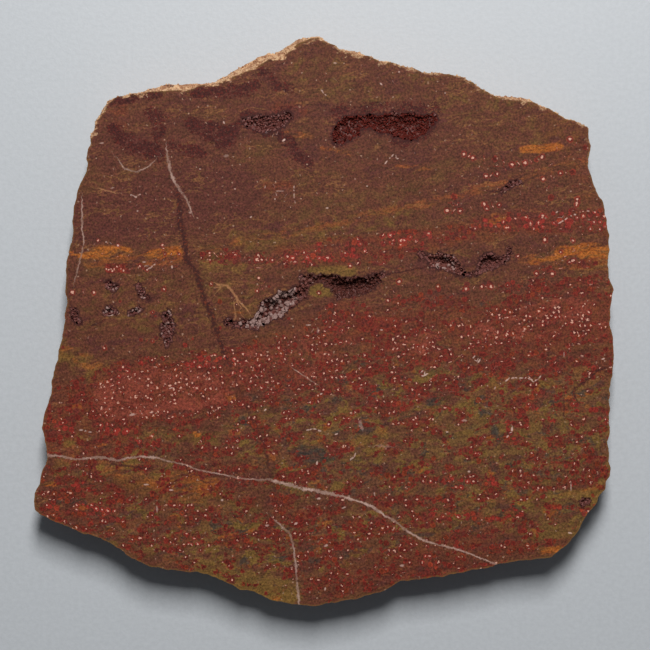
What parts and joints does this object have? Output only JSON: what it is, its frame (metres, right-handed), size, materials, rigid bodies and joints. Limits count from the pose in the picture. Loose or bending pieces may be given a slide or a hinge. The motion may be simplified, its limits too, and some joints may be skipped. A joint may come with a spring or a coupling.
{
  "type": "ferruginous quartz in matrix",
  "caption": "Sawn slab of banded red-brown iron-stained quartz rock with veins and open hollows lined by small crystals; lies flat as a display specimen.",
  "frame": {"origin": "middle of the sawn back, at the bottom of the slab", "axes": "+Z out of the sawn front face, +X to the right of the face, +Y to the edge that keeps its pale weathered rind"},
  "size_m": [0.1163, 0.1142, 0.01],
  "materials": {
    "stone": "satin sawn faces, rough broken rim",
    "druse": "glassy small crystals",
    "dark_druse": "glassy small crystals stained dark red"
  },
  "bodies": {
    "root": {"matrix": "stone", "druse_west": "druse", "druse_centre": "druse", "druse_east": "druse", "druse_far_east": "druse", "druse_upper": "dark_druse"}
  },
  "joints": []
}
